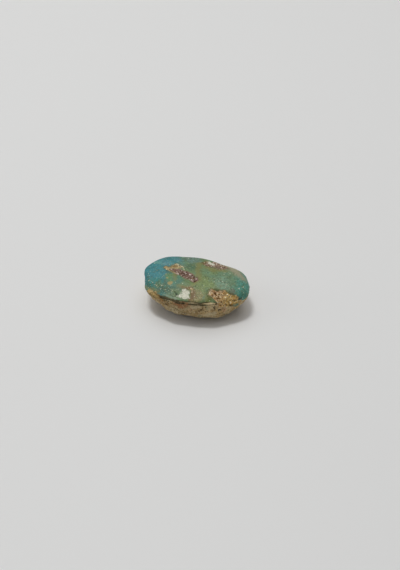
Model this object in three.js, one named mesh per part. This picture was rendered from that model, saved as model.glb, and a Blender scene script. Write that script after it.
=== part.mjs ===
// A raw turquoise nugget: one stone with a ground, gently domed face of turquoise and a rough back of
// brown host rock that tapers like a boat's hull to a small worn flat.
// Millimetres, +Z up. The stone stands on its flat; +X is the blunt right-hand end and -Y the front.
import * as THREE from "three";
import { ImprovedNoise } from "three/addons/math/ImprovedNoise.js";
import { mergeVertices } from "three/addons/utils/BufferGeometryUtils.js";

// The polished face, in millimetres as everywhere below
const CROWN_HEIGHT = 7.75; // highest point
const FACE_WAVE = 0.07; // what the polishing left uneven
const FACE_WAVE_LENGTH = 3.2;
const EDGE_ROLL = 0.22; // how far the polish rolls over at the very edge
const EDGE_ROLL_FROM = 0.9; // share of the way out where the roll starts
const EDGE_STEP = 0.32; // how far, at most, the softer host rock is set in under the polished edge

// The host rock's own relief
const LUMP_HEIGHT = 0.34;
const LUMP_LENGTH = 2.4;
const GRAIN_HEIGHT = 0.16;
const GRAIN_LENGTH = 1.0;
const BED_THICKNESS = 1.7; // the rock lies in beds whose edges wear to ledges
const BED_DIP = 0.45; // fall of the beds for each millimetre toward the right
const BED_WARP = 1.0; // how far the beds bend
const BED_WARP_LENGTH = 3.0;
const BED_CREST = 0.75; // share of a bed's thickness at which it stands out most
const LEDGE_DEPTH = 0.26;
const BEDS_SHOW_TO = -1; // the beds are plain to the left of this and gone to the right of the next
const BEDS_GONE_BY = 6;
const PIT_FLOOR = 0.2; // share of a pit's radius that is its floor

// The worn flat and what rises round it
const FLAT_SHARE = 0.5; // share of the underside, from its middle, that is flat
const FOOT_RISE = 0.4; // how far the underside lifts off the table at its edge

// How finely the stone is cut into facets
const AROUND = 144;
const DOWN = 15;

// Four closed curves carry the form. Each has twelve points, one every 30 degrees anticlockwise from
// the right-hand end, and each point is [reach from the middle, height above the table].
const RIM = [
  [12.8, 4.9], [11.9, 5.7], [8.4, 6.4], [7.9, 6.5], [8.4, 6.5], [10.8, 6.5],
  [12.1, 6.5], [10.2, 6.1], [8.5, 6.2], [7.5, 6.3], [7.8, 6.3], [9.5, 5.8],
];
const SHOULDER = [
  [12.1, 3.9], [11.6, 4.7], [8.4, 5.6], [7.8, 5.7], [8.4, 5.7], [10.7, 5.6],
  [11.4, 5.2], [10.9, 4.9], [8.7, 5.1], [7.35, 5.4], [7.6, 5.4], [9.1, 4.9],
];
const BELLY = [
  [10.5, 1.7], [10.1, 2.1], [7.6, 2.5], [7.1, 2.6], [7.5, 2.7], [9.2, 2.9],
  [9.7, 2.9], [9.1, 2.6], [8.15, 2.3], [7.1, 2.4], [7.7, 2.1], [9.25, 1.75],
];
const FOOT = [
  [7.2, 0], [6.8, 0], [5.4, 0], [4.8, 0], [4.9, 0], [5.3, 0],
  [5.6, 0], [5.8, 0], [6.1, 0], [4.9, 0], [5.5, 0], [7.4, 0],
];

// Hollows that the polish never reached, each a ragged band along a line across the face
const HOLLOW_EDGE = 0.25; // half the width of a hollow's sloping edge, as a share of its half width
const HOLLOW_WANDER = 0.5; // how far its outline wanders
const HOLLOW_WANDER_LENGTH = 1.3;
const HOLLOW_GRAIN = 0.18; // unevenness of its floor
const HOLLOWS = [
  { from: [-7.2, 1.6, 0], to: [-0.2, -1.4, 0], halfWidth: 1.0, depth: 0.3 }, // the long dark patch
  { from: [-6.2, 2.4, 0], to: [-3.6, 1.7, 0], halfWidth: 0.75, depth: 0.22 }, // its golden lobe
  { from: [1.2, 5.6, 0], to: [4.6, 5.0, 0], halfWidth: 0.9, depth: 0.28 }, // the patch at the far edge
  { from: [-1.6, -6.3, 0], to: [0.1, -5.3, 0], halfWidth: 0.8, depth: 0.14 }, // the chalky patch
  { from: [6.3, -4.3, 0], to: [9.8, -3.6, 0], halfWidth: 1.4, depth: 0.45 }, // the ochre pocket
];

// Pits in the host rock
const PITS = [
  { at: [3.5, -6.8, 4.3], radius: 0.8, depth: 0.4 },
  { at: [6.6, -5.6, 4.2], radius: 0.9, depth: 0.35 },
  { at: [-0.6, -6.6, 2.2], radius: 0.8, depth: 0.3 },
  { at: [-9.9, -4.6, 3.4], radius: 1.0, depth: 0.35 },
  { at: [-10.6, 2.4, 4.2], radius: 0.9, depth: 0.35 },
  { at: [-5.6, 7.0, 4.1], radius: 1.0, depth: 0.4 },
  { at: [0.4, 7.4, 3.6], radius: 0.9, depth: 0.35 },
  { at: [6.3, 6.3, 3.4], radius: 1.1, depth: 0.4 },
  { at: [11.3, 2.4, 3.0], radius: 0.9, depth: 0.3 },
];

// A crack that falls across the front of the host rock
const CRACK = { from: [-5.4, -7.6, 5.2], to: [-1.7, -7.5, 3.5], halfWidth: 0.55, depth: 0.32 };

const noise = new ImprovedNoise();
const smooth = THREE.MathUtils.smoothstep;

// Smooth noise between about -1 and 1, with lumps of a given length; another seed gives other lumps
function lumpy(x, y, z, length, seed) {
  return noise.noise(x / length, y / length, z / length + seed);
}

function closedCurve(points) {
  const turn = (2 * Math.PI) / points.length;
  const corners = points.map(
    ([reach, height], k) =>
      new THREE.Vector3(reach * Math.cos(k * turn), reach * Math.sin(k * turn), height),
  );
  return new THREE.CatmullRomCurve3(corners, true, "catmullrom", 0.5);
}
const rim = closedCurve(RIM);
const shoulder = closedCurve(SHOULDER);
const belly = closedCurve(BELLY);
const foot = closedCurve(FOOT);

function distanceToLine(point, { from, to }) {
  const line = new THREE.Line3(new THREE.Vector3(...from), new THREE.Vector3(...to));
  return line.closestPointToPoint(point, true, new THREE.Vector3()).distanceTo(point);
}

// A point of the unit square as [share of the way out to its edge, share of a turn], so that a square
// grid becomes a round one with no pole
function roundTheSquare(x, y) {
  const out = Math.max(Math.abs(x), Math.abs(y));
  if (out === 0) return [0, 0];
  const quarter = Math.PI / 4;
  const flat = Math.abs(x) >= Math.abs(y);
  const signed = flat ? x : y;
  const angle = flat ? quarter * (y / x) : 2 * quarter - quarter * (x / y);
  const turn = Math.atan2(signed * Math.sin(angle), signed * Math.cos(angle)) / (2 * Math.PI);
  return [out, (turn + 1) % 1];
}

// How deep the face is sunk at a place by the hollows in it
function hollowDepth(x, y) {
  const place = new THREE.Vector3(x, y, 0);
  const wander = HOLLOW_WANDER * lumpy(x, y, 0, HOLLOW_WANDER_LENGTH, 4);
  const floor = HOLLOW_GRAIN * lumpy(x, y, 0, GRAIN_LENGTH, 9);
  const depths = HOLLOWS.map((hollow) => {
    const away = (distanceToLine(place, hollow) + wander) / hollow.halfWidth;
    return (hollow.depth + floor) * (1 - smooth(away, 1 - HOLLOW_EDGE, 1 + HOLLOW_EDGE));
  });
  return Math.max(0, ...depths);
}

// The polished face: a low dome, rounder at its blunt right-hand end, with the hollows sunk into it
function facePoint(out, turn) {
  const edge = rim.getPoint(turn);
  const x = edge.x * out;
  const y = edge.y * out;
  const blunt = Math.max(0, Math.cos(2 * Math.PI * turn)) ** 2;
  const dome = THREE.MathUtils.lerp(out ** 2, 1 - Math.sqrt(1 - out ** 4), blunt);
  const roll = EDGE_ROLL * (1 - blunt) * smooth(out, EDGE_ROLL_FROM, 1) ** 2;
  const wave = FACE_WAVE * lumpy(x, y, 0, FACE_WAVE_LENGTH, 1);
  const height = CROWN_HEIGHT - (CROWN_HEIGHT - edge.z) * dome - roll + wave;
  return new THREE.Vector3(x, y, height - hollowDepth(x, y));
}

// The underside: flat where it is worn, and lifting unevenly off the table toward its edge
function footPoint(out, turn) {
  const edge = foot.getPoint(turn);
  const x = edge.x * out;
  const y = edge.y * out;
  const lift = FOOT_RISE * smooth(out, FLAT_SHARE, 1) * (1 + lumpy(x, y, 0, LUMP_LENGTH, 6));
  return new THREE.Vector3(x, y, lift);
}

// The rough back: one smooth line down through the four curves, before the rock's own relief
function backPoint(down, turn) {
  const line = [rim, shoulder, belly, foot].map((curve) => curve.getPoint(turn));
  line[0].z = facePoint(1, turn).z;
  line[3].z = footPoint(1, turn).z;
  return new THREE.CatmullRomCurve3(line, false, "catmullrom", 0.5).getPoint(down);
}

// How far the rock is set in under the polished edge: most where it has worn most
function edgeStep(p, down) {
  const wear = smooth(0.5 + lumpy(p.x, p.y, 0, LUMP_LENGTH, 2), 0.1, 0.7);
  return EDGE_STEP * wear * (1 - smooth(down, 0.08, 0.28));
}

// How far the rock stands out at a place: lumps, grain, the ledges of its beds, pits and the crack
function rockRelief({ x, y, z }) {
  const place = new THREE.Vector3(x, y, z);
  const lumps = LUMP_HEIGHT * lumpy(x, y, z, LUMP_LENGTH, 7);
  const grain = GRAIN_HEIGHT * lumpy(x, y, z, GRAIN_LENGTH, 0);
  const warp = BED_WARP * lumpy(x, y, z, BED_WARP_LENGTH, 0);
  const beds = (z + BED_DIP * x + warp) / BED_THICKNESS;
  const up = beds - Math.floor(beds);
  const shelf = Math.min(up / BED_CREST, (1 - up) / (1 - BED_CREST)) - 0.5;
  const ledge = LEDGE_DEPTH * shelf * (1 - smooth(x, BEDS_SHOW_TO, BEDS_GONE_BY));
  const pits = PITS.map(({ at, radius, depth }) => {
    const away = place.distanceTo(new THREE.Vector3(...at)) / radius;
    return depth * (1 - smooth(away, PIT_FLOOR, 1));
  });
  const crack = CRACK.depth * (1 - smooth(distanceToLine(place, CRACK), 0, CRACK.halfWidth));
  return lumps + grain + ledge - Math.max(...pits) - crack;
}

// A box whose top becomes the face, whose sides become the back and whose bottom becomes the underside
function nuggetGeometry() {
  const box = new THREE.BoxGeometry(2, 2, 2, AROUND / 4, AROUND / 4, DOWN);
  box.deleteAttribute("normal");
  box.deleteAttribute("uv");
  const stone = mergeVertices(box, 1e-5);
  const place = stone.getAttribute("position");
  const downs = [];
  for (let i = 0; i < place.count; i++) {
    const [out, turn] = roundTheSquare(place.getX(i), place.getY(i));
    const down = (1 - place.getZ(i)) / 2;
    let point = backPoint(down, turn);
    if (down === 0) point = facePoint(out, turn);
    if (down === 1) point = footPoint(out, turn);
    place.setXYZ(i, point.x, point.y, point.z);
    downs.push(down);
  }
  stone.computeVertexNormals();
  const normals = stone.getAttribute("normal");
  downs.forEach((down, i) => {
    if (down === 0 || down === 1) return;
    const p = new THREE.Vector3().fromBufferAttribute(place, i);
    const outward = new THREE.Vector3().fromBufferAttribute(normals, i);
    const share = smooth(down, 0.03, 0.2) * (1 - 0.5 * smooth(down, 0.85, 1));
    p.addScaledVector(outward, share * rockRelief(p) - edgeStep(p, down));
    place.setXYZ(i, p.x, p.y, Math.max(0, p.z));
  });
  stone.deleteAttribute("normal");
  stone.computeBoundingBox();
  const middle = stone.boundingBox.getCenter(new THREE.Vector3());
  stone.translate(-middle.x, -middle.y, -stone.boundingBox.min.z);
  stone.computeVertexNormals();
  return stone;
}

const turquoise = new THREE.MeshStandardMaterial({ color: 0x4f8f82, roughness: 0.45, metalness: 0 });
const nugget = new THREE.Mesh(nuggetGeometry(), turquoise);
nugget.name = "turquoise_nugget";

const stone = new THREE.Group();
stone.add(nugget);
export default stone;
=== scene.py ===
# %% [markdown]
# # A half-polished turquoise nugget
# The stone is one natural piece: turquoise grown in a brown host rock. One side was ground to a low dome
# and lightly polished, and the back and the hollows that the wheel never reached are still raw.
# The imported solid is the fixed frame. Everything here is in its place and at its size: the solid is
# replaced by a finer mesh of the same stone, with its grain, and dressed in minerals.

# %% The frame
from math import radians

import bmesh
import bpy
from mathutils import Matrix, Quaternion, Vector


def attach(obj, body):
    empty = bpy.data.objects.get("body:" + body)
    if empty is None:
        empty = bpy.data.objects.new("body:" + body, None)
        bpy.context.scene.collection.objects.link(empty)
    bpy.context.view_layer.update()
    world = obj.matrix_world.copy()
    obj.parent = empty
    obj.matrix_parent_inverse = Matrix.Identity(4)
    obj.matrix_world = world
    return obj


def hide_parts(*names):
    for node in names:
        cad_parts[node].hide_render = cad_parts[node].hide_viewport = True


MM = 0.001
STONE = "turquoise_nugget"

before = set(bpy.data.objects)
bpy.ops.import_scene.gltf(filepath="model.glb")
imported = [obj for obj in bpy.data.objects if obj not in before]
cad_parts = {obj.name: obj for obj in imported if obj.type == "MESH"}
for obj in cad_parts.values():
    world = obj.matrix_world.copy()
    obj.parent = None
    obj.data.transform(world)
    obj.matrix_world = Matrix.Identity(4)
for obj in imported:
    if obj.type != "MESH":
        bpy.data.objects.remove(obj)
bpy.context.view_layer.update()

# %% [markdown]
# ## The camera
# The photograph was taken from in front and above, a little to the right of the stone's middle. A normal
# lens is used at the distance that gives the stone its size in the picture, so that the lines of the
# stone run together as much as they do in the photograph. Angles are in degrees and lengths in
# millimetres.

# %% The camera
LENS = 50
SENSOR = 36
NEAREST_SEEN = 10
AZIMUTH, ELEVATION = 18, 42
DISTANCE = 182.6
AIM = Vector((0.58, 1.25, 4.0))


def turned(azimuth, elevation):
    """The direction from the stone towards a camera or a lamp."""
    tip = Matrix.Rotation(radians(-elevation), 3, "X")
    turn = Matrix.Rotation(radians(azimuth), 3, "Z")
    return turn @ tip @ Vector((0, -1, 0))


def link(name, data):
    """A new object in the scene."""
    thing = bpy.data.objects.new(name, data)
    bpy.context.scene.collection.objects.link(thing)
    return thing


towards_camera = turned(AZIMUTH, ELEVATION)
camera = link("camera", bpy.data.cameras.new("camera"))
camera.data.lens = LENS
camera.data.sensor_width = SENSOR
camera.data.clip_start = NEAREST_SEEN * MM
camera.location = (AIM + towards_camera * DISTANCE) * MM
camera.rotation_euler = (-towards_camera).to_track_quat("-Z", "Y").to_euler()
bpy.context.scene.camera = camera
print("camera, in mm:", [round(v / MM, 1) for v in camera.location])

# %% [markdown]
# ## The table
# The table is one white square, far larger than what the camera sees, so that its edges stay out of the
# picture. Its size is in metres.

# %% The table
FLOOR_REACH = 3.0
FLOOR_GREY = 0.80
FLOOR_WARMTH = 0.99
FLOOR_ROUGHNESS = 0.6

table_finish = bpy.data.materials.new("white table")
table_finish.use_nodes = True
table_shader = table_finish.node_tree.nodes["Principled BSDF"]
table_shader.inputs["Base Color"].default_value = (FLOOR_GREY, FLOOR_GREY, FLOOR_GREY * FLOOR_WARMTH, 1)
table_shader.inputs["Roughness"].default_value = FLOOR_ROUGHNESS
table_mesh = bpy.data.meshes.new("table")
corners = [(-1, -1, 0), (1, -1, 0), (1, 1, 0), (-1, 1, 0)]
table_mesh.from_pydata([Vector(c) * FLOOR_REACH for c in corners], [], [(0, 1, 2, 3)])
table_mesh.materials.append(table_finish)
link("table", table_mesh)
print("table, in m:", 2 * FLOOR_REACH)

# %% [markdown]
# ## The light
# A small lamp overhead gives the shadow its edge. A broad light like a window's, high behind the stone,
# fades the shadow towards the front, and a weak one low on the left brightens the raw rock. The room round
# them is dim. One even sky would be simpler, but it would reach under the stone's belly, where the
# photograph is dark. Sizes and distances are in metres, power in watts, and `towards` and the twist in
# degrees.

# %% The light
LIGHTS = {
    "lamp": {"size": (0.20, 0.08), "power": 2.5, "towards": (235, 74), "distance": 0.9, "twist": -37},
    "window": {"size": (1.2, 1.2), "power": 4.9, "towards": (200, 66), "distance": 1.1, "twist": 0},
    "fill": {"size": (0.6, 0.6), "power": 1.1, "towards": (285, 25), "distance": 1.0, "twist": 0},
}
ROOM_LIGHT = 0.20


def area_light(name, size, power, towards, distance, twist):
    """A flat light of a real size, facing the stone and turned in its own plane by the twist."""
    light = link(name, bpy.data.lights.new(name, "AREA"))
    light.data.shape = "RECTANGLE"
    light.data.size, light.data.size_y = size
    light.data.energy = power
    direction = turned(*towards)
    light.location = direction * distance
    facing = (-direction).to_track_quat("-Z", "Y")
    light.rotation_euler = (facing @ Quaternion((0, 0, 1), radians(twist))).to_euler()
    print(name, "in m:", [round(v, 2) for v in light.location])


for name, light in LIGHTS.items():
    area_light(name, **light)

room = bpy.data.worlds.new("room")
room.use_nodes = True
room.node_tree.nodes["Background"].inputs["Color"].default_value = (1, 1, 1, 1)
room.node_tree.nodes["Background"].inputs["Strength"].default_value = ROOM_LIGHT
bpy.context.scene.world = room
bpy.context.scene.view_settings.view_transform = "Standard"

# %% [markdown]
# ## Sums of sockets
# Both the shape and the colours of a stone are sums of noise and distance, and long chains of nodes are
# hard to read. This class wraps one socket, so that `a * 2 + b` adds the Math nodes by itself. Every other
# node goes through its `add` method. It works in geometry trees and in material trees alike.


# %% Sums of sockets
class Wire:
    """A node's output that can stand in a Python sum."""

    def __init__(self, tree, socket=None):
        self.tree = tree
        self.socket = socket

    def add(self, kind, settings=None, sockets=None, output=0):
        """Adds a node: its settings first, then a value or a wire for each socket named."""
        node = self.tree.nodes.new(kind)
        for name, value in (settings or {}).items():
            setattr(node, name, value)
        for name, value in (sockets or {}).items():
            if isinstance(value, Wire):
                self.tree.links.new(value.socket, node.inputs[name])
            else:
                node.inputs[name].default_value = value
        return Wire(self.tree, node.outputs[output])

    def beside(self, output):
        """Another output of the same node."""
        return Wire(self.tree, self.socket.node.outputs[output])

    def math(self, operation, *values):
        return self.add("ShaderNodeMath", {"operation": operation}, dict(enumerate(values)))

    def vector(self, operation, *values, output=0):
        return self.add("ShaderNodeVectorMath", {"operation": operation}, dict(enumerate(values)), output)

    def scaled(self, factor):
        """This vector, times a number."""
        return self.add("ShaderNodeVectorMath", {"operation": "SCALE"}, {0: self, "Scale": factor})

    def __add__(self, other):
        return self.math("ADD", self, other)

    def __sub__(self, other):
        return self.math("SUBTRACT", self, other)

    def __rsub__(self, other):
        return self.math("SUBTRACT", other, self)

    def __mul__(self, other):
        return self.math("MULTIPLY", self, other)

    def __truediv__(self, other):
        return self.math("DIVIDE", self, other)

    def __neg__(self):
        return self.math("MULTIPLY", self, -1)

    __radd__ = __add__
    __rmul__ = __mul__


def least(a, b):
    return a.math("MINIMUM", a, b)


def most(a, b):
    return a.math("MAXIMUM", a, b)


def ease(value, low, high):
    """0 at low, 1 at high, and smooth between them. Low may be the greater of the two."""
    settings = {"interpolation_type": "SMOOTHSTEP"}
    return value.add("ShaderNodeMapRange", settings, {0: value, 1: low, 2: high})


def between(value, low, high, fade):
    """1 from low to high, easing to 0 on both sides."""
    return ease(value, low - fade, low) * ease(value, high + fade, high)


def parts(place):
    """The x, y and z of a place."""
    x = place.add("ShaderNodeSeparateXYZ", {}, {0: place})
    return x, x.beside(1), x.beside(2)


# %% [markdown]
# ## Noise, grains and facets
# Natural surfaces are noise at several sizes. All lengths are millimetres. `noise` gives soft lumps,
# `warped` pushes a place about so that outlines drawn on it wander, `grains` gives rounded grains, and
# `facets` gives each cell a flat face with a tilt of its own, as on broken crystals.


# %% Noise, grains and facets
def shifted(place, seed):
    """The place moved far off, so that two textures of one kind don't repeat each other."""
    return place.vector("ADD", place, (seed * 7.3, seed * -3.1, seed * 5.7)) if seed else place


def noise(place, length, detail=2.0, roughness=0.5, seed=0):
    """Smooth noise of about -1 to 1, with lumps of this length."""
    sockets = {"Vector": shifted(place, seed), "Scale": 1 / length, "Detail": detail, "Roughness": roughness}
    return place.add("ShaderNodeTexNoise", {}, sockets) * 4 - 2


def warped(place, length, reach, seed=0):
    """The place, pushed up to about reach by noise of this length."""
    sockets = {"Vector": shifted(place, seed), "Scale": 1 / length, "Detail": 2.0}
    push = place.add("ShaderNodeTexNoise", {}, sockets, "Color")
    push = push.vector("SUBTRACT", push, (0.5, 0.5, 0.5)).scaled(4 * reach)
    return place.vector("ADD", place, push)


def cells(place, size, feature="F1", seed=0):
    """The distance output of a cell texture whose cells are about this size."""
    sockets = {"Vector": shifted(place, seed), "Scale": 1 / size}
    return place.add("ShaderNodeTexVoronoi", {"feature": feature}, sockets)


def grains(place, size, seed=0):
    """Rounded grains: 1 on top of each and about 0 between them."""
    return 1 - cells(place, size, "SMOOTH_F1", seed) * 1.4


def facets(place, size, seed=0):
    """Flat faces, each at its own height and tilt, of about -1 to 1."""
    cell = cells(place, size, seed=seed)
    tilt = cell.vector("SUBTRACT", cell.beside("Color"), (0.5, 0.5, 0.5))
    off = cell.vector("SUBTRACT", shifted(place, seed), cell.beside("Position"))
    slope = cell.vector("DOT_PRODUCT", off, tilt, output=1) * (1.6 / size)
    return slope + parts(tilt)[0] * 1.2


# %% [markdown]
# ## Where the minerals lie
# The face is turquoise, and other minerals show in it as patches. Each patch is a row of rounded bars on
# the face: start, end, and the half width at each, in millimetres. Painting them on an image would be the
# usual way, but bars are easy to read and change, and noise gives them their ragged outlines. The first
# ones are the hollows with their crusts, and the chalk.

# %% Where the minerals lie
IRON = [
    ((-6.3, 0.85), (-4.4, 0.6), 0.40, 0.78),
    ((-4.4, 0.6), (-2.6, -0.05), 0.78, 0.98),
    ((-2.6, -0.05), (0.5, -1.25), 0.98, 0.62),
    ((0.9, 5.4), (2.6, 6.0), 0.60, 1.00),
    ((2.6, 6.0), (5.2, 5.5), 1.00, 0.70),
    ((5.2, 5.5), (6.2, 5.2), 0.40, 0.20),
]
OCHRE = [
    ((-7.8, 1.35), (-6.5, 0.75), 0.34, 0.50),
    ((-6.5, 0.35), (-4.6, -0.35), 0.20, 0.16),
    ((-6.2, 1.9), (-4.8, 2.2), 0.62, 0.60),
    ((-5.6, 2.6), (-4.6, 2.4), 0.42, 0.30),
    ((-0.4, -4.15), (0.4, -4.3), 0.22, 0.26),
]
POCKET = [
    ((5.2, -3.8), (7.2, -3.8), 0.95, 1.40),
    ((7.2, -3.8), (11.1, -3.0), 1.40, 0.82),
]
PALE = [
    ((-1.15, -4.9), (-0.25, -5.2), 0.38, 0.42),
    ((-0.85, -5.5), (-0.45, -6.2), 0.62, 0.72),
    ((-2.3, -6.5), (-1.3, -6.2), 0.20, 0.48),
    ((0.55, -6.45), (0.0, -6.3), 0.20, 0.40),
    ((1.3, 6.2), (2.3, 5.85), 0.36, 0.30),
]
print("bars in the crusts and the chalk:", sum(len(bars) for bars in (IRON, OCHRE, POCKET, PALE)))

# %% [markdown]
# ### Stains and fine marks
# These lie flat in the polish: cream and tan films beside the crusts, olive and rusty stains, one pale
# hairline, a pale painted highlight along the front edge, two nicks, a grey painted reflection along the
# far edge, and the areas where the turquoise is full of specks. The ledge is bare rock that the wheel
# didn't reach.

# %% Stains and fine marks
CREAM = [
    ((-5.5, 3.05), (-5.0, 2.85), 0.22, 0.16),
    ((-4.5, 2.6), (-3.2, 1.4), 0.16, 0.12),
]
TAN = [
    ((-4.85, -3.45), (-4.8, -3.4), 0.55, 0.55),
    ((-6.9, -1.0), (-6.7, -1.2), 0.25, 0.15),
    ((-6.2, -2.2), (-6.0, -2.3), 0.28, 0.20),
]
OLIVE = [
    ((-5.0, -0.8), (-4.1, -2.4), 0.35, 0.30),
    ((-0.6, 4.6), (0.0, 1.4), 0.60, 0.45),
    ((0.0, 1.4), (1.3, -1.1), 0.45, 0.40),
    ((1.3, -1.1), (0.0, -3.6), 0.30, 0.18),
    ((1.2, 3.5), (5.8, 3.8), 0.45, 0.40),
    ((-2.9, -3.9), (-1.0, -4.1), 0.25, 0.45),
    ((-10.6, -4.6), (-9.0, -5.5), 0.20, 0.40),
    ((-9.0, -5.5), (-6.6, -6.3), 0.40, 0.20),
    ((2.3, 3.0), (3.6, 2.7), 0.30, 0.30),
]
RUST = [
    ((0.0, 5.4), (1.0, 5.9), 0.50, 0.55),
    ((-2.0, -4.35), (0.2, -4.2), 0.22, 0.26),
    ((0.9, -4.6), (1.5, -5.9), 0.42, 0.50),
    ((0.6, 4.7), (5.0, 4.3), 0.30, 0.30),
    ((1.5, -5.9), (0.9, -6.9), 0.45, 0.35),
]
HAIRLINE = [
    ((-11.1, -3.0), (-9.0, -2.75), 0.04, 0.05),
    ((-9.0, -2.75), (-7.0, -2.8), 0.05, 0.02),
]
# Painted highlight: the pale band where the rounded front edge catches the light.
RIM_HIGHLIGHT = [((-5.3, -6.75), (-2.4, -7.15), 0.14, 0.14)]
NICKS = [
    ((-3.3, -5.85), (-2.5, -6.15), 0.08, 0.14),
    ((10.95, -2.1), (11.2, -1.8), 0.16, 0.12),
]
# Painted reflection: a grey band along the far edge, where the polish mirrors the bright room.
FAR_EDGE_REFLECTION = [
    ((3.2, 6.9), (7.4, 5.4), 0.60, 0.90),
    ((7.4, 5.4), (10.2, 3.4), 0.90, 0.50),
]
SPECKLED = [
    ((-10.4, -3.6), (-7.6, -5.0), 0.90, 1.00),
    ((-7.6, -5.0), (-3.0, -6.0), 1.00, 0.90),
    ((1.0, -4.3), (1.6, -6.2), 0.80, 0.80),
    ((4.3, -3.9), (5.4, -2.7), 0.50, 0.40),
    ((4.4, 0.2), (8.2, -1.2), 0.60, 0.60),
    ((3.4, 5.0), (9.8, 4.0), 0.60, 0.50),
    ((10.2, 2.4), (11.2, -0.6), 0.50, 0.40),
    ((-4.2, 6.3), (-2.4, 6.6), 0.35, 0.30),
]
LEDGE = [
    ((-9.7, -6.1), (-7.7, -6.9), 0.45, 0.75),
    ((-7.7, -6.9), (-5.3, -7.6), 0.75, 0.35),
    ((-5.6, -7.70), (-3.0, -7.95), 0.62, 0.68),
    ((-3.0, -7.95), (-0.5, -8.15), 0.68, 0.45),
]

# %% [markdown]
# ### The distance to a patch
# The place is taken to the nearest point of each bar, and the bar's half width there is taken off the
# distance. What is left is negative inside the patch, 0 on its outline and positive outside, so one value
# gives a sharp outline, a soft one or a halo.

# %% The distance to a patch
FACE_MINERALS = {
    "ledge": LEDGE,
    "cream": CREAM,
    "iron": IRON,
    "ochre": OCHRE,
    "pale": PALE,
    "tan": TAN,
    "olive": OLIVE,
    "rust": RUST,
    "far_edge_reflection": FAR_EDGE_REFLECTION,
    "speckled": SPECKLED,
    "hairline": HAIRLINE,
    "rim_highlight": RIM_HIGHLIGHT,
    "nick": NICKS,
}


def off_bars(place, bars):
    """How far a place lies outside the nearest bar, in millimetres. It is negative inside one."""
    nearest = None
    for start, end, start_width, end_width in bars:
        start, end = Vector(start).to_3d(), Vector(end).to_3d()
        along = end - start
        reach = place.vector("SUBTRACT", place, start)
        share = reach.vector("DOT_PRODUCT", reach, along / along.length_squared, output=1)
        share = share.add("ShaderNodeClamp", {}, {0: share})
        on_bar = share.add("ShaderNodeVectorMath", {"operation": "SCALE"}, {0: along, "Scale": share})
        off = reach.vector("DISTANCE", reach, on_bar, output=1)
        off = off - (share * (end_width - start_width) + start_width)
        nearest = off if nearest is None else least(nearest, off)
    return nearest


def on_plan(place):
    return place.vector("MULTIPLY", place, (1, 1, 0))


def on_front(place):
    """The place as seen from the front: x stays and height becomes y."""
    x, y, z = parts(place)
    return place.add("ShaderNodeCombineXYZ", {}, {0: x, 1: z, 2: 0.0})


print("patches:", {name: len(bars) for name, bars in FACE_MINERALS.items()})

# %% [markdown]
# ## Marks on the host rock
# Below the polished edge the front shows the raw rock. Its marks are bars too, seen from the front: x, and
# height above the table. Cracks are cut into the rock, and the rest are stains on it, except two pale bars
# of painted light where the rock lies in shade.

# %% Marks on the host rock
CRACKS = [
    ((-9.7, 4.5), (-9.0, 4.4), 0.24, 0.16),
    ((-9.3, 5.0), (-8.3, 5.0), 0.14, 0.06),
    ((-8.3, 5.0), (-6.7, 4.3), 0.06, 0.07),
    ((-5.4, 5.3), (-4.8, 5.2), 0.10, 0.11),
    ((-4.4, 5.2), (-3.4, 4.0), 0.06, 0.10),
    ((-3.4, 4.0), (-1.8, 3.2), 0.08, 0.05),
    ((3.50, 4.25), (3.6, 4.2), 0.22, 0.18),
    ((-0.55, 5.75), (-0.4, 5.75), 0.14, 0.12),
    ((0.4, 3.25), (0.6, 3.2), 0.10, 0.08),
    ((-0.6, 2.2), (0.2, 2.6), 0.07, 0.06),
    ((6.4, 5.8), (6.8, 5.5), 0.16, 0.10),
    ((6.1, 4.6), (6.2, 4.0), 0.10, 0.08),
    ((7.1, 3.8), (7.3, 3.7), 0.12, 0.08),
    ((9.0, 4.2), (9.5, 3.9), 0.14, 0.10),
]
FRONT_RUST = [
    ((-2.2, 5.3), (0.4, 5.6), 0.36, 0.40),
    ((-1.3, 4.6), (-0.6, 4.7), 0.45, 0.50),
    ((-6.1, 5.35), (-5.7, 5.3), 0.30, 0.25),
]
FRONT_PALE_AND_LIGHT = [
    ((1.5, 4.9), (3.2, 5.1), 0.35, 0.30),
    ((-4.6, 4.1), (-2.3, 2.5), 0.14, 0.16),
    ((-2.3, 2.5), (1.3, 1.9), 0.16, 0.20),
    # painted light: a pale bar where the rock lies in shade under the pocket
    ((4.4, 2.6), (6.4, 3.0), 0.45, 0.45),
    # painted light: a pale bar where the rock at the left end lies in shade
    ((-8.4, 4.0), (-6.8, 3.5), 0.45, 0.45),
    ((5.3, 6.1), (6.0, 6.1), 0.14, 0.14),
]
FRONT_OCHRE = [
    ((-10.0, 4.8), (-7.3, 5.5), 0.45, 0.50),
    ((-7.3, 5.5), (-5.2, 5.6), 0.50, 0.25),
    ((9.8, 4.4), (11.4, 4.3), 0.30, 0.30),
]
FRONT_GREEN = [((10.1, 3.5), (11.2, 3.7), 0.28, 0.22)]
FRONT_MARKS = {
    "crack": CRACKS,
    "front_rust": FRONT_RUST,
    "front_pale_and_light": FRONT_PALE_AND_LIGHT,
    "front_ochre": FRONT_OCHRE,
    "front_green": FRONT_GREEN,
}
print("marks on the front:", {name: len(bars) for name, bars in FRONT_MARKS.items()})

# %% [markdown]
# ## A finer mesh of the stone
# The solid has about 9,500 triangles, half a millimetre each, which is right for its form but not for its
# grain. Its triangles are paired into squares, because a subdivision surface smooths squares evenly, and
# worked on in millimetres. A remesh would give squares too, but it would lose the sharp rim.


# %% A finer mesh of the stone
MERGE_WITHIN = 0.002


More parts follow.
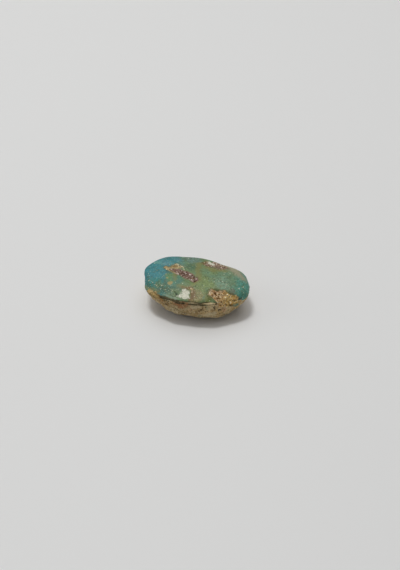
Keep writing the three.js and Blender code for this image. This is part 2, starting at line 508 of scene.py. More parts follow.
def even_copy(source):
    """A merged copy of a solid's mesh in millimetres, in squares where two triangles make one."""
    mesh = bpy.data.meshes.new("nugget")
    work = bmesh.new()
    work.from_mesh(source)
    bmesh.ops.remove_doubles(work, verts=work.verts, dist=MERGE_WITHIN * MM)
    flat = radians(180)
    bmesh.ops.join_triangles(work, faces=work.faces, angle_face_threshold=flat, angle_shape_threshold=flat)
    bmesh.ops.scale(work, vec=Vector((1, 1, 1)) / MM, verts=work.verts)
    for face in work.faces:
        face.smooth = True
    work.to_mesh(mesh)
    work.free()
    if mesh.attributes.get("custom_normal"):
        mesh.attributes.remove(mesh.attributes["custom_normal"])
    return mesh


stone = link("raw_stone", even_copy(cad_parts[STONE].data))
print("squares:", len(stone.data.polygons))

# %% [markdown]
# ## Trees of geometry nodes
# The relief and the loose grains are made by geometry nodes. Each tree is built in code, with named inputs
# for its sizes. Clicking the nodes together in the editor would give the same tree, but its numbers would
# be hard to find again.


# %% Trees of geometry nodes
def new_tree(name, sizes):
    """A geometry tree with a mesh in and out, and a named input for each size."""
    tree = bpy.data.node_groups.new(name, "GeometryNodeTree")
    tree.interface.new_socket("Mesh", in_out="INPUT", socket_type="NodeSocketGeometry")
    tree.interface.new_socket("Mesh", in_out="OUTPUT", socket_type="NodeSocketGeometry")
    for size, value in sizes.items():
        kind = "NodeSocketInt" if isinstance(value, int) else "NodeSocketFloat"
        tree.interface.new_socket(size, in_out="INPUT", socket_type=kind)
    start = Wire(tree).add("NodeGroupInput")
    return tree, start, {size: start.beside(size) for size in sizes}


def end_tree(mesh, finish, smooth=True):
    """Makes instances real, gives the mesh its finish and ends the tree."""
    mesh = mesh.add("GeometryNodeRealizeInstances", {}, {0: mesh})
    mesh = mesh.add("GeometryNodeSetShadeSmooth", {}, {0: mesh, "Shade Smooth": smooth})
    mesh = mesh.add("GeometryNodeSetMaterial", {}, {0: mesh, "Material": finish})
    out = mesh.tree.nodes.new("NodeGroupOutput")
    mesh.tree.links.new(mesh.socket, out.inputs[0])


def run_tree(thing, tree, sizes, thin_to=None):
    """Runs a tree on an object, thins the result if asked, and leaves it as a plain mesh."""
    modifier = thing.modifiers.new(tree.name, "NODES")
    modifier.node_group = tree
    for item in tree.interface.items_tree:
        if item.in_out == "INPUT" and item.name in sizes:
            modifier[item.identifier] = sizes[item.name]
    if thin_to:
        thing.modifiers.new("thin", "DECIMATE").ratio = thin_to
    bpy.context.view_layer.update()
    graph = bpy.context.evaluated_depsgraph_get()
    done = thing.evaluated_get(graph)
    mesh = bpy.data.meshes.new_from_object(done, preserve_all_data_layers=True, depsgraph=graph)
    thing.modifiers.clear()
    thing.data = mesh
    mesh.calc_loop_triangles()
    print(tree.name, "-", len(mesh.loop_triangles), "triangles")


# %% [markdown]
# ## Values on the mesh
# The distance to a patch is worked out once, kept on every point of the mesh, and read again by the
# finishes. Colour and relief then always agree.


# %% Values on the mesh
def keep(mesh, name, value):
    """Keeps a value on every point of the mesh."""
    settings = {"data_type": "FLOAT", "domain": "POINT"}
    return mesh.add("GeometryNodeStoreNamedAttribute", settings, {0: mesh, "Name": name, "Value": value})


def kept(mesh, name):
    """A value that was kept on the mesh."""
    return mesh.add("GeometryNodeInputNamedAttribute", {"data_type": "FLOAT"}, {"Name": name})


def blurred(value, steps, kind="FLOAT"):
    """A value evened out with that of the points round it, this many times."""
    sockets = {"Value": value, "Iterations": steps}
    return value.add("GeometryNodeBlurAttribute", {"data_type": kind}, sockets)


# %% [markdown]
# ## The stone's relief
# The tree smooths the solid and then moves its surface along its normals. Turquoise stays almost flat,
# with the faint waves of hand grinding. Iron, ochre and the pocket are crusts of broken grains, and the
# host rock has lumps, thin beds, grains and cracks. Sculpting would do it too, but a rule can be changed
# with a number. Fineness counts how often each face is cut in four, and the rest is in millimetres.

# %% The stone's relief
RELIEF = {
    "Fineness": 3,
    "Fullness": 0.06,
    "Face wave": 0.012,
    "Crust height": 0.15,
    "Pocket height": 0.24,
    "Pale height": 0.07,
    "Rock lumps": 0.14,
    "Rock facets": 0.16,
    "Rock grain": 0.07,
    "Bed height": 0.07,
    "Crack depth": 0.30,
    "Nick depth": 0.12,
    "Edge groove": 0.10,
}
print("relief:", RELIEF)

# %% [markdown]
# ### Crusts and rock
# Each kind of surface is a height above the smooth solid. A crust is broken crystals packed together:
# tilted faces of two sizes, with rounded grains between them. Rock has lumps, broken faces in some places,
# fine grain, and thin tilted beds whose worn edges stand out as small steps.

# %% Crusts and rock
BED_THICKNESS = 0.62
BED_RISE, BED_DIP = 0.10, 0.22


def crust(place, size):
    """Broken crystals and grains, packed in a crust."""
    broken = facets(place, size) * 0.6 + facets(place, size * 0.5, 3) * 0.3
    return broken + grains(place, size * 0.6, 5) * 0.4


def rock_height(place, sizes):
    """Lumps, broken faces here and there, grain and thin beds."""
    lumps = noise(place, 1.5, 2, seed=2) * sizes["Rock lumps"]
    broken = facets(warped(place, 0.7, 0.15, 4), 0.8) * sizes["Rock facets"]
    gate = ease(noise(place, 2.2, 1, seed=6), -0.5, 0.5)
    grain = noise(place, 0.28, 3, 0.6, seed=8) * sizes["Rock grain"]
    x, y, z = parts(warped(place, 2.5, 0.35, 9))
    bed = (z + x * BED_RISE - y * BED_DIP) / BED_THICKNESS
    bed = bed - bed.math("FLOOR", bed)
    beds = ease(bed, 0.0, 0.85) * ease(bed, 1.0, 0.88) * sizes["Bed height"]
    return lumps + broken * gate + grain + beds


# %% [markdown]
# ### Patches on the mesh
# Each point keeps its distance to every row of bars. Noise first pushes the place about twice, widely and
# then finely, so that no outline is a clean curve. The front's marks have no depth and would show on the
# back of the stone as well, so the distance to them is made large there.

# %% Patches on the mesh
OUTLINE_SWAY = 1.4, 0.27
OUTLINE_FRAY = 0.4, 0.13
FRONT_ENDS = -2.0, -1.0
FAR_OFF = 9

stone_finish = bpy.data.materials.new("turquoise in host rock")
tree, start, sizes = new_tree("stone relief", RELIEF)
normal = start.add("GeometryNodeInputNormal")
mesh = keep(start, "facing", blurred(parts(normal)[2], 2))
mesh = mesh.add("GeometryNodeSubdivisionSurface", {}, {0: mesh, "Level": sizes["Fineness"]})
place = start.add("GeometryNodeInputPosition")
ragged = warped(warped(place, *OUTLINE_SWAY), *OUTLINE_FRAY, 3)
for name, bars in FACE_MINERALS.items():
    mesh = keep(mesh, name, off_bars(on_plan(ragged), bars))
behind = ease(parts(place)[1], *FRONT_ENDS) * FAR_OFF
for name, bars in FRONT_MARKS.items():
    mesh = keep(mesh, name, off_bars(on_front(ragged), bars) + behind)
print("kept on each point:", ["facing", *FACE_MINERALS, *FRONT_MARKS])

# %% [markdown]
# ### Where the polish ends
# The wheel touched only what faced it. The polish ends where the surface turns down too far, where it lies
# below the edge, and on the ledge of rock at the front left. Both ends of the stone were ground further
# round, so the polish reaches lower there. The pocket's crust stops at the height of its floor. A painted
# mask would do as well, but this one follows the shape.

# %% Where the polish ends
POLISH_ENDS = 0.30
EDGE_HEIGHT = 5.75
RIGHT_DROP, RIGHT_DROPS = 3, (4.5, 11.0)
LEFT_DROP, LEFT_DROPS = 1.2, (-9.0, -10.6)
END_ROLL, RIGHT_ROLLS, LEFT_ROLLS = 0.45, (8.0, 10.0), (-10.2, -11.4)
POCKET_FLOOR = 4.3

facing = kept(mesh, "facing")
x, y, z = parts(place)
edge_drop = ease(x, *RIGHT_DROPS) * RIGHT_DROP + ease(x, *LEFT_DROPS) * LEFT_DROP
above_edge = z + noise(place, 0.9, 2, seed=12) * 0.12 - EDGE_HEIGHT + edge_drop
pocket_plan = off_bars(on_plan(ragged), POCKET)
mesh = keep(mesh, "pocket", most(pocket_plan, POCKET_FLOOR - z + noise(place, 0.8) * 0.3))
rolled = ease(x, *RIGHT_ROLLS) * END_ROLL + ease(x, *LEFT_ROLLS) * END_ROLL
turned_down = facing + noise(place, 0.7, 2, seed=11) * 0.10 + rolled - POLISH_ENDS
mesh = keep(mesh, "polish", least(least(turned_down, above_edge), kept(mesh, "ledge")))
print("edge, in mm:", EDGE_HEIGHT, "and at the ends", EDGE_HEIGHT - RIGHT_DROP, EDGE_HEIGHT - LEFT_DROP)

# %% [markdown]
# ### How high each mineral stands
# The heights are laid over each other: the rock, the ground face, the crusts in its hollows, the pocket,
# and the chalk that stands a little proud. Cracks and nicks are cut last. The relief dies out at the foot,
# so that the stone stands on the same flat as the solid.

# %% How high each mineral stands
PATCH_ENDS = {
    "polish": (-0.06, 0.10),
    "iron": (0.12, -0.15),
    "ochre": (0.12, -0.12),
    "pale": (0.08, -0.12),
    "pocket": (0.12, -0.25),
    "crack": (0.12, -0.02),
    "nick": (0.10, -0.05),
    "ledge": (0.10, -0.15),
}
FOOT = 0.05, 0.7


def laid(below, above, share):
    """One height over another, by a share from 0 to 1."""
    return below + (above - below) * share


within = {name: ease(kept(mesh, name), *ends) for name, ends in PATCH_ENDS.items()}
polish = within["polish"]
groove = between(kept(mesh, "polish"), -0.30, -0.14, 0.12) * ease(noise(place, 3.0, 1, seed=13), -0.7, 0.2)
roughened = most(ease(facing, 0.25, -0.35), within["ledge"])
rock = rock_height(place, sizes) * roughened - groove * sizes["Edge groove"]
face_height = noise(place, 1.3, 2) * sizes["Face wave"]
crusts = (crust(place, 0.42) - 0.25) * sizes["Crust height"]
pocket_crust = (crust(warped(place, 0.8, 0.2), 0.62) - 0.30) * sizes["Pocket height"]

height = laid(rock, face_height, polish)
height = laid(height, crusts, most(within["iron"] * polish, within["ochre"] * polish * 0.8))
height = laid(height, pocket_crust, within["pocket"])
height = height + within["pale"] * polish * (crust(place, 0.36) * 0.6 + 0.5) * sizes["Pale height"]
height = height - within["crack"] * sizes["Crack depth"] - within["nick"] * polish * sizes["Nick depth"]
height = (height + sizes["Fullness"]) * ease(z, *FOOT)
print("relief nodes:", len(tree.nodes))

# %% [markdown]
# ### The finished surface
# The surface is moved along its normals. Each point then keeps how far it lies below its near and its wide
# surroundings, and the finishes darken small dips and large hollows alike by it. The mesh is thinned at the
# end: it has to be fine while the grain is cut, but a third of its triangles carry the same shape.

# %% The finished surface
ROUND_ABOUT = {"dip": 5, "hollow": 40}
SHARE_LEFT = 0.32

mesh = mesh.add("GeometryNodeSetPosition", {}, {0: mesh, "Offset": normal.scaled(height)})
for name, steps in ROUND_ABOUT.items():
    lift = normal.vector("SUBTRACT", blurred(place, steps, "FLOAT_VECTOR"), place)
    mesh = keep(mesh, name, normal.vector("DOT_PRODUCT", lift, normal, output=1))
end_tree(mesh, stone_finish)
run_tree(stone, tree, RELIEF, thin_to=SHARE_LEFT)

# %% [markdown]
# ## Loose grains
# Crystals stand in the dark patches, crumbs in the pocket, and grains on the host rock. They are small
# faceted lumps, scattered over the finer mesh and half sunk in it, because a displaced surface alone can't
# undercut. Each keeps a number of its own, its tone, so that one finish can give them different colours.
# Sizes are in millimetres.

# %% Loose grains
GRAINS = {
    "iron_crystals": {"Each mm2": 6.0, "Smallest": 0.08, "Largest": 0.25, "Sunk": 0.05, "Seed": 3},
    "pocket_crumbs": {"Each mm2": 5.0, "Smallest": 0.10, "Largest": 0.30, "Sunk": 0.06, "Seed": 5},
    "rock_grains": {"Each mm2": 3.0, "Smallest": 0.06, "Largest": 0.16, "Sunk": 0.03, "Seed": 7},
}
SQUASH = 0.55, 1.25
FULL_TURN = 6.28


def any_number(wire, low, high, seed):
    """A number between low and high for each point."""
    return wire.add("FunctionNodeRandomValue", {"data_type": "FLOAT"}, {2: low, 3: high, "Seed": seed}, 1)


def any_vector(wire, low, high, seed):
    """A vector for each point, each of its numbers between low and high."""
    settings = {"data_type": "FLOAT_VECTOR"}
    sockets = {0: (low, low, low), 1: (high, high, high), "Seed": seed}
    return wire.add("FunctionNodeRandomValue", settings, sockets, 0)


def scattered(name, chosen, finish):
    """A piece of small lumps, scattered on the stone where chosen(start) says."""
    tree, start, sizes = new_tree(name, GRAINS[name])
    sockets = {0: start, "Selection": chosen(start), "Density": sizes["Each mm2"], "Seed": sizes["Seed"]}
    points = start.add("GeometryNodeDistributePointsOnFaces", {}, sockets)
    sunk = points.beside("Normal").scaled(-sizes["Sunk"])
    points = points.add("GeometryNodeSetPosition", {}, {0: points, "Offset": sunk})
    points = keep(points, "tone", any_number(points, 0.0, 1.0, 11))
    lump = points.add("GeometryNodeMeshIcoSphere", {}, {"Radius": 1.0, "Subdivisions": 1})
    size = any_number(points, 0.0, 1.0, 12)
    size = size * size * (sizes["Largest"] - sizes["Smallest"]) + sizes["Smallest"]
    scale = any_vector(points, *SQUASH, 13).scaled(size)
    turn = any_vector(points, 0.0, FULL_TURN, 14)
    sockets = {0: points, "Instance": lump, "Rotation": turn, "Scale": scale}
    end_tree(points.add("GeometryNodeInstanceOnPoints", {}, sockets), finish, smooth=False)
    piece = link(name, stone.data.copy())
    run_tree(piece, tree, GRAINS[name])
    return piece


# %% [markdown]
# ### Where the grains lie
# Each kind keeps clear of the outline of its mineral by a small margin. The rock's grains also keep off the
# foot, so that none of them lifts the stone. The pieces are worked in millimetres and brought to metres
# here, together with the stone.

# %% Where the grains lie
PATCH_MARGIN = 0.05
ROCK_MARGIN = 0.10
OFF_THE_FOOT = 0.6


def in_patches(start):
    """Inside the dark patches, but not on their chip of chalk."""
    inside_iron = least(-kept(start, "iron"), least(kept(start, "polish"), kept(start, "pale")))
    return inside_iron.math("GREATER_THAN", inside_iron, PATCH_MARGIN)


def in_the_pocket(start):
    inside_pocket = -kept(start, "pocket")
    return inside_pocket.math("GREATER_THAN", inside_pocket, PATCH_MARGIN)


def on_the_rock(start):
    bare = least(-kept(start, "polish"), kept(start, "pocket"))
    raised = least(bare, parts(start.add("GeometryNodeInputPosition"))[2] - OFF_THE_FOOT)
    return raised.math("GREATER_THAN", raised, ROCK_MARGIN)


grain_finishes = {name: bpy.data.materials.new(name.replace("_", " ")) for name in GRAINS}
choices = {"iron_crystals": in_patches, "pocket_crumbs": in_the_pocket, "rock_grains": on_the_rock}
pieces = [scattered(name, choices[name], grain_finishes[name]) for name in GRAINS]
for piece in (stone, *pieces):
    piece.data.transform(Matrix.Scale(MM, 4))

# %% [markdown]
# ## Finishes
# One material dresses the stone, because its minerals grow into each other. It starts as turquoise and
# lays each mineral over it. Colours are written as they look on a screen, and `shade` turns them into
# amounts of light.


# %% Finishes
def shade(code):
    """A colour written as six hex digits, as Blender wants it."""
    out = []
    for i in (0, 2, 4):
        v = int(code[i : i + 2], 16) / 255
        out.append(v / 12.92 if v <= 0.04045 else ((v + 0.055) / 1.055) ** 2.4)
    return (*out, 1)


def over(below, above, factor):
    """Lays one colour over another. Each is a wire or six hex digits."""
    below, above = (shade(c) if isinstance(c, str) else c for c in (below, above))
    return factor.add("ShaderNodeMix", {"data_type": "RGBA"}, {0: factor, 6: below, 7: above}, output=2)


def times(colour, factor):
    """A colour made lighter or darker by a number."""
    return colour.scaled(factor)


def near(place, spot, reach, fade):
    """1 near a spot on the plan, easing to 0 past its reach."""
    off = place.vector("DISTANCE", place, Vector(spot).to_3d(), output=1)
    return ease(off, reach + fade, reach)


def chosen_cells(place, size, share, seed):
    """1 on the middle of some cells. Their share can differ from place to place."""
    cell = cells(place, size, seed=seed)
    tone = parts(cell.beside("Color"))[0]
    return ease(tone + share, 0.97, 1.02) * ease(cell, 0.42, 0.25)


# %% [markdown]
# ### The ground colour of the turquoise
# Turquoise is blue from copper, and turns green and olive where iron takes its place. Here it is blue at
# the left end, green in the middle and teal at the right end, with softer spots between them. Each row is
# a colour, its place on the plan, how far it reaches, how far it fades, and its strength. A photograph
# laid on the stone would be quicker, but would stretch over the edge and carry its own light and shade.

# %% The ground colour of the turquoise
GREEN_GROUND, BLUE_GROUND, BLUE_FROM = "6a835a", "3a8187", (-2.4, -7.8)
TEAL_END, TEAL_FROM = "529282", (7.6, 10.4)
ZONES = [
    ("2f8078", (-8.6, -4.4), 0.8, 2.2, 0.8),
    ("68896a", (5.0, 1.5), 2.2, 2.5, 0.9),
    ("788a52", (2.5, -2.2), 2.0, 2.0, 0.9),
    ("8a8352", (1.8, -5.7), 1.0, 1.5, 0.9),
    # painted light: a lighter spot near the front edge, where the face lies in shade
    ("a99e6c", (2.1, -6.6), 0.5, 0.7, 0.9),
    ("7a7e42", (4.8, -5.4), 0.7, 0.9, 0.9),
    ("4f6d50", (-1.9, 2.9), 0.7, 1.3, 0.9),
    ("66857c", (-2.5, 6.0), 0.8, 1.6, 0.9),
    ("7a9a80", (6.6, -0.7), 0.9, 1.6, 0.9),
    ("3a6652", (-5.2, -4.9), 1.0, 1.8, 0.9),
    ("4c7858", (-7.6, -4.6), 0.4, 0.9, 0.9),
    ("609a90", (-9.9, 2.8), 0.4, 1.2, 0.9),
    ("4f7f6c", (-3.8, -2.8), 0.9, 1.7, 0.9),
    ("5c8554", (-5.4, -1.6), 0.5, 1.1, 0.9),
    # painted light: a lighter spot on the right end's rolled edge, which faces down into shade
    ("98dcc0", (12.0, -1.9), 1.0, 0.9, 0.9),
    ("6f8250", (3.0, 2.9), 0.4, 1.4, 0.9),
    ("6a8a6e", (6.6, 3.6), 0.4, 1.2, 0.9),
]
LATE_ZONES = [
    ("51848b", (-5.9, 4.8), 0.4, 1.1, 1.0),
    ("548a90", (-8.6, 2.9), 0.7, 1.3, 0.8),
    ("727e6b", (8.9, -1.8), 0.5, 0.5, 1.0),
]


def with_zones(colour, place, zones):
    """Lays soft spots of colour over a colour."""
    for tone, spot, reach, fade, strength in zones:
        colour = over(colour, tone, near(place, spot, reach, fade) * strength)
    return colour


def turquoise_ground(place):
    """The broad colours of the face, with outlines that wander."""
    soft = on_plan(warped(warped(place, 3.2, 0.9), 0.9, 0.30, 2))
    x = parts(soft)[0]
    colour = over(GREEN_GROUND, BLUE_GROUND, ease(x, *BLUE_FROM))
    colour = with_zones(colour, soft, ZONES)
    colour = with_zones(over(colour, TEAL_END, ease(x, *TEAL_FROM)), soft, LATE_ZONES)
    rusty = ease(noise(place, 0.8, 3, 0.6, seed=26), 0.15, 0.9) * ease(x, -7.5, -2.0)
    colour = over(colour, "7f7c45", rusty * 0.45)
    return over(colour, "589389", ease(noise(place, 1.1, 3, 0.6, seed=27), 0.2, 1.0) * 0.35)


print("zones of colour:", len(ZONES) + len(LATE_ZONES))


# %% [markdown]
# ### Veins and specks in the turquoise
# Seen close, the colour is broken up by a net of olive veins, by clouds of paler and darker grains, and by
# pale and dark specks that crowd together in places, most of all at the front left. Cell textures give the
# net and the specks, and noise gives the clouds.


# %% Veins and specks in the turquoise
def veined(colour, place, speckled):
    """Adds the net of veins, the clouds of grains and their mottling."""
    web = cells(warped(place, 0.9, 0.25, 23), 1.1, "DISTANCE_TO_EDGE")
    clouds = ease(noise(place, 1.6, 1, seed=24), -0.2, 0.6)
    colour = over(colour, "535c35", ease(web, 0.10, 0.0) * most(clouds * 0.5, speckled * 0.75))
    colour = over(colour, "a3b392", ease(noise(place, 0.50, 3, 0.7, seed=17), 0.2, 1.1) * 0.5)
    colour = over(colour, "2f4a38", ease(noise(place, 0.42, 3, 0.7, seed=18), 0.15, 1.0) * 0.7)
    mottle = noise(place, 0.34, 3, 0.75, seed=21) * 0.34 + noise(place, 1.2, 2, seed=22) * 0.14
    return times(colour, mottle + 1.02)


def with_specks(colour, place, speckled):
    """Adds dark, greenish and pale specks, more of them where the stone is speckled."""
    crumbs = warped(place, 0.3, 0.06, 29)
    colour = over(colour, "38452f", chosen_cells(crumbs, 0.42, speckled * 0.18 + 0.07, 28) * 0.7)
    colour = over(colour, "a9b08a", chosen_cells(crumbs, 0.26, speckled * 0.28 + 0.14, 30) * 0.6)
    pale = over("a3b290", "dcdcc4", ease(noise(place, 0.6, 1, seed=19), -0.3, 0.4))
    return over(colour, pale, chosen_cells(crumbs, 0.40, speckled * 0.26 + 0.02, 25) * 0.8)


def turquoise(place, speckled):
    return with_specks(veined(turquoise_ground(place), place, speckled), place, speckled)


# %% [markdown]
# ### Host rock
# The rock is pale brown and uneven, rusty and greenish in places, with cream and dark grains. Its dips and
# hollows are darker and its ridges paler. Painted shade darkens it near the table, and painted light makes
# it lighter towards both ends.
# Blotches of turquoise come through it behind.

# %% Host rock
# Painted shade near the table, and painted light towards both ends of the rock.
OFF_TABLE, PAINTED_TABLE_SHADE = (0.5, 3.5), 0.22
ROCK_RIGHT, RIGHT_PAINTED_LIGHT = (2.0, 6.0), 0.24
ROCK_LEFT, LEFT_PAINTED_LIGHT = (-6.0, -9.0), 0.16


def rock_ground(place):
    """The broad colours of the rock, uneven, with painted shade near the table and painted light at both
    ends.
    """
    soft = warped(place, 1.2, 0.3, 31)
    colour = over("b59a6b", "c4b28a", ease(noise(soft, 2.4, 2, seed=32), -0.5, 0.6))
    colour = over(colour, "94754a", ease(noise(soft, 1.1, 3, seed=33), 0.15, 1.0) * 0.75)
    colour = over(colour, "b58664", ease(noise(soft, 3.1, 2, seed=34), 0.35, 1.0) * 0.6)
    colour = over(colour, "979b7c", ease(noise(soft, 2.7, 2, seed=35), 0.4, 1.0) * 0.6)
    x, _, z = parts(place)
    # painted light towards both ends; below, painted shade near the table
    painted_end_light = ease(x, *ROCK_RIGHT) * RIGHT_PAINTED_LIGHT + ease(x, *ROCK_LEFT) * LEFT_PAINTED_LIGHT
    grain = noise(place, 0.35, 3, 0.7, seed=36) * 0.36
    return times(colour, grain + ease(z, *OFF_TABLE) * PAINTED_TABLE_SHADE + painted_end_light + 0.80)


def host_rock(place, dip, hollow):
    """The rock with its grains, its darker dips and hollows, and its paler ridges."""
    colour = over(rock_ground(place), "dccfae", chosen_cells(place, 0.5, 0.12, 38) * 0.7)
    crumbs = warped(place, 0.3, 0.06, 44)
    colour = over(colour, "7c5a38", chosen_cells(crumbs, 0.70, 0.16, 46) * 0.6)
    colour = over(colour, "4a3722", chosen_cells(crumbs, 0.50, 0.13, 37) * 0.85)
    colour = over(colour, "57452d", ease(dip, 0.015, 0.06) * 0.65)
    colour = over(colour, "54432d", ease(hollow, 0.12, 0.45) * 0.5)
    colour = over(colour, "dccda6", ease(dip, -0.015, -0.05) * 0.5)
    blotch = noise(warped(place, 2.0, 0.6, 39), 2.6, 4, 0.6, seed=40)
    return over(colour, "64907f", ease(blotch, 0.42, 0.60) * ease(parts(place)[1], -1.0, 2.0) * 0.75)


# %% [markdown]
# ### Crusts and chalk
# The dark patches are brown iron ore with glinting pale crystals, the golden lobes and the pocket are
# ochre, and the white patches are soft chalky clay. All three are darker in their dips. Ochre comes in
# several tones, so its two ground colours are given where it is used.


# %% Crusts and chalk
def iron_crust(place, dip):
    colour = over("705446", "9a7f70", ease(noise(place, 0.7, 2, seed=42), -0.5, 0.5))
    colour = over(colour, "a39279", ease(parts(place)[1], 3.0, 5.0) * 0.6)
    colour = over(colour, "6f5240", near(place, (-5.4, 0.9), 0.5, 0.8) * 0.7)
    colour = over(colour, "573d33", ease(dip, 0.005, 0.045) * 0.7)
    colour = over(colour, "3a2822", chosen_cells(place, 0.44, 0.30, 45) * 0.85)
    colour = over(colour, "ead9ce", chosen_cells(place, 0.42, 0.34, 41))
    return over(colour, "a3864f", chosen_cells(place, 0.5, 0.20, 43) * 0.8)


def ochre_crust(place, dip, low, high):
    colour = over(low, high, ease(noise(place, 0.8, 3, seed=52), -0.5, 0.6))
    colour = times(colour, noise(place, 0.3, 3, 0.7, seed=54) * 0.22 + 1.0)
    colour = over(colour, "5f4426", chosen_cells(place, 0.50, 0.26, 57) * 0.8)
    colour = over(colour, "f8eccc", chosen_cells(place, 0.50, 0.30, 51) * 0.9)
    colour = over(colour, "6a4f2c", ease(dip, 0.012, 0.06) * 0.75)
    return over(colour, "e6d3a2", ease(dip, -0.015, -0.06) * 0.5)


def chalk(place, dip):
    colour = over("cfceb8", "ecebd9", ease(noise(place, 0.4, 3, seed=55), -0.6, 0.4))
    colour = over(colour, "a9ada0", chosen_cells(place, 0.4, 0.16, 56) * 0.7)
    return over(colour, "a3997a", ease(dip, 0.008, 0.04) * 0.7)


# %% [markdown]
# ## The stone's material
# The finishes read the values kept on the mesh. A patch has a finely ragged outline, and a stain a soft and
# uneven one. Both are rows of bars with some noise added to the distance.

# %% The stone's material
DULL_GLOSS = 0.35


def value_of(start, name):
    """A value kept on the mesh."""
    return start.add("ShaderNodeAttribute", {"attribute_name": name}, {}, output="Fac")


def finish_with(finish, sockets):
    """Links a wire to each of these inputs of a finish."""
    shader = finish.node_tree.nodes["Principled BSDF"]
    shader.inputs["Specular IOR Level"].default_value = DULL_GLOSS
    for socket, wire in sockets.items():
        finish.node_tree.links.new(wire.socket, shader.inputs[socket])


stone_finish.use_nodes = True
nodes = Wire(stone_finish.node_tree)
place = nodes.add("ShaderNodeTexCoord", {}, {}, output="Object").scaled(1 / MM)
x, y, z = parts(place)
dip, hollow = value_of(nodes, "dip"), value_of(nodes, "hollow")
fine = noise(place, 0.18, 3, 0.6, seed=61)
ragged = noise(place, 0.5, 3, 0.65, seed=64)
polish_kept = value_of(nodes, "polish") + fine * 0.03
polish = ease(polish_kept, -0.05, 0.06)


def inside(name, fade=0.06, reach=0.07):
    """1 inside a patch, with a finely ragged outline."""
    return ease(value_of(nodes, name) + (fine + ragged) * reach, fade, -fade)


def stained(name, out=0.5, into=-0.3, reach=0.25):
    """A soft, uneven mark round a row of bars."""
    return ease(value_of(nodes, name) + ragged * reach, out, into)


# %% [markdown]
# ### Stains and patches on the face
# Over the turquoise come, in this order, its olive stains, the grey painted reflection of the far edge, dark
# halos round the patches, the hairline and the pale painted highlight of the front edge, rust with white
# flecks in it, and then the patches themselves, with the chalk on top. Each layer hides what is under it, as
# on the stone.

# %% Stains and patches on the face
colour = turquoise(place, stained("speckled", out=0.9, into=-0.4))
colour = over(colour, "807f49", stained("olive") * 0.75)
# painted reflection: the far edge greyed as if it mirrored the bright room
colour = over(colour, "a09a80", stained("far_edge_reflection", out=0.9, into=-0.4, reach=0.5) * 0.85)
patch_halo = ease(least(value_of(nodes, "iron"), value_of(nodes, "ochre")) + ragged * 0.15, 0.45, 0.0)
colour = over(colour, "6c6640", patch_halo * 0.7)
pocket_halo = ease(value_of(nodes, "pocket") + ragged * 0.15, 0.45, 0.0)
colour = over(colour, "746a40", pocket_halo * 0.75)
colour = over(colour, "a9bcae", ease(value_of(nodes, "hairline") + fine * 0.02, 0.06, -0.02) * 0.6)
# painted highlight: a pale band along the front edge, where its rounding catches the light
colour = over(colour, "94a48d", ease(value_of(nodes, "rim_highlight") + fine * 0.1, 0.15, -0.10) * 0.7)
colour = over(colour, "745629", stained("rust", out=0.35, reach=0.4) * 0.85)
colour = over(colour, "e0d2b4", stained("rust", out=0.35) * chosen_cells(place, 0.45, 0.26, 65) * 0.85)
colour = over(colour, "a2935f", inside("tan", 0.15))
colour = over(colour, ochre_crust(place, dip, "90794e", "c0ae80"), inside("ochre", 0.10, 0.16))
colour = over(colour, iron_crust(place, dip), inside("iron", 0.10, 0.14))
colour = over(colour, "c4bf9b", inside("cream", 0.10, 0.10))
colour = over(colour, chalk(place, dip), inside("pale", 0.10, 0.24))
face = over(colour, "3c4a42", inside("nick") * 0.85)
print("nodes for the face:", len(stone_finish.node_tree.nodes))

# %% [markdown]
# ### Marks on the rock
# The rock has its own stains, each with how far it spreads and its strength, and dark cracks; two of the
# pale bars among them are painted light. Under the polished edge at the front runs a dark line of painted
# shadow, in the groove that the overhanging edge shades.

# %% Marks on the rock
ROCK_STAINS = {
    "front_rust": ("a86c44", {"out": 0.50, "into": -0.3, "reach": 0.5}, 0.75),
    "front_pale_and_light": ("d6c6a0", {"out": 0.2, "into": -0.2, "reach": 0.1}, 0.75),
    "front_ochre": ("a68c4e", {"out": 0.35, "into": -0.3, "reach": 0.4}, 0.6),
    "front_green": ("7d917a", {"out": 0.15, "into": -0.1, "reach": 0.1}, 0.75),
}
rock = host_rock(place, dip, hollow)
for name, (tone, spread, strength) in ROCK_STAINS.items():
    rock = over(rock, tone, stained(name, **spread) * strength)
rock = over(rock, "2c2013", ease(value_of(nodes, "crack") + fine * 0.05, 0.06, -0.03) * 0.9)
# painted shadow: a dark line under the polished edge at the front, where the overhang shades the groove
under_edge_shadow = between(polish_kept, -0.34, 0.02, 0.05) * ease(y, -2.5, -4.5) * between(x, -6.0, 4.6, 0.8)
rock = over(rock, "504f36", under_edge_shadow * 0.85)
print("stains on the rock:", list(ROCK_STAINS))

# %% [markdown]
# ### The pocket
# The pocket's crumbs are pink at its left and golden at its right. Low down, where the pocket opens at the
# edge and lies in shade, painted light makes them a little lighter.

# %% The pocket
PINK_TO_GOLD = 8.8, 6.0
POCKET_LIP, LIP_PAINTED_LIGHT = (5.6, 4.6), 0.22

golden = ochre_crust(place, dip, "c39f56", "e2c580")
pink = ochre_crust(place, dip, "bf9a72", "e2c6a2")
crumbly = over(golden, pink, ease(x + ragged * 0.8, *PINK_TO_GOLD))
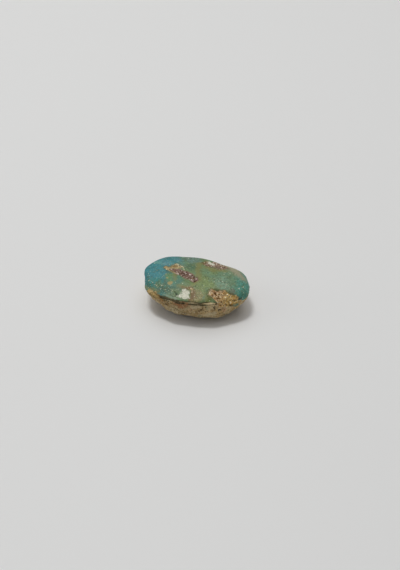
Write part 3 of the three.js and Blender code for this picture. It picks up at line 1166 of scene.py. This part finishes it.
# painted light: the crumbs low down, where the pocket opens in shade, are made lighter
crumbly = times(crumbly, ease(z, *POCKET_LIP) * LIP_PAINTED_LIGHT + 1.0)
colour = over(over(rock, face, polish), crumbly, inside("pocket"))

# %% [markdown]
# ### Gloss and bumps
# The polished face is satin and everything raw is dull. Grain of about a tenth of a millimetre is finer
# than the mesh, so it is a bump, which costs no triangles.

# %% Gloss and bumps
SATIN, RAW_IS_ROUGHER = 0.50, 0.40
RAW_BUMP, FACE_BUMP = 0.022, 0.004

raw = most(1 - polish, most(most(inside("iron"), inside("ochre")), most(inside("pocket"), inside("pale"))))
roughness = raw * RAW_IS_ROUGHER + SATIN + fine * 0.05
bumps = (noise(place, 0.12, 3, 0.6, seed=62) * RAW_BUMP) * raw
bumps = bumps + noise(place, 0.35, 3, 0.6, seed=63) * FACE_BUMP
bump = nodes.add("ShaderNodeBump", {}, {"Height": bumps, "Distance": MM, "Strength": 1.0})
finish_with(stone_finish, {"Base Color": colour, "Roughness": roughness, "Normal": bump})
print("nodes in all:", len(stone_finish.node_tree.nodes))

# %% [markdown]
# ### The grains' finishes
# Each kind of grain has a dark, a middle and a light colour, and the tone that a grain keeps picks one of
# them. Three plain materials would do as well, but one that reads the tone keeps each kind in one piece.

# %% The grains' finishes
GRAIN_TONES = {
    "iron_crystals": ("4a362c", "8d7466", "ecdcd0"),
    "pocket_crumbs": ("7d5e32", "c79c5a", "f4e6c0"),
    "rock_grains": ("7a6040", "b59c70", "dccda8"),
}
TO_MIDDLE, TO_LIGHT = (0.15, 0.35), (0.62, 0.80)

for name, (dark, middle, light) in GRAIN_TONES.items():
    finish = grain_finishes[name]
    finish.use_nodes = True
    tone = value_of(Wire(finish.node_tree), "tone")
    colour = over(over(dark, middle, ease(tone, *TO_MIDDLE)), light, ease(tone, *TO_LIGHT))
    finish_with(finish, {"Base Color": colour, "Roughness": tone * 0.2 + 0.65})
    print(finish.name, "-", dark, middle, light)

# %% [markdown]
# ## Into the frame
# The finished stone stands for the solid, and the grains ride with it.

# %% Into the frame
for piece in (stone, *pieces):
    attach(piece, "root")
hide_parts(STONE)
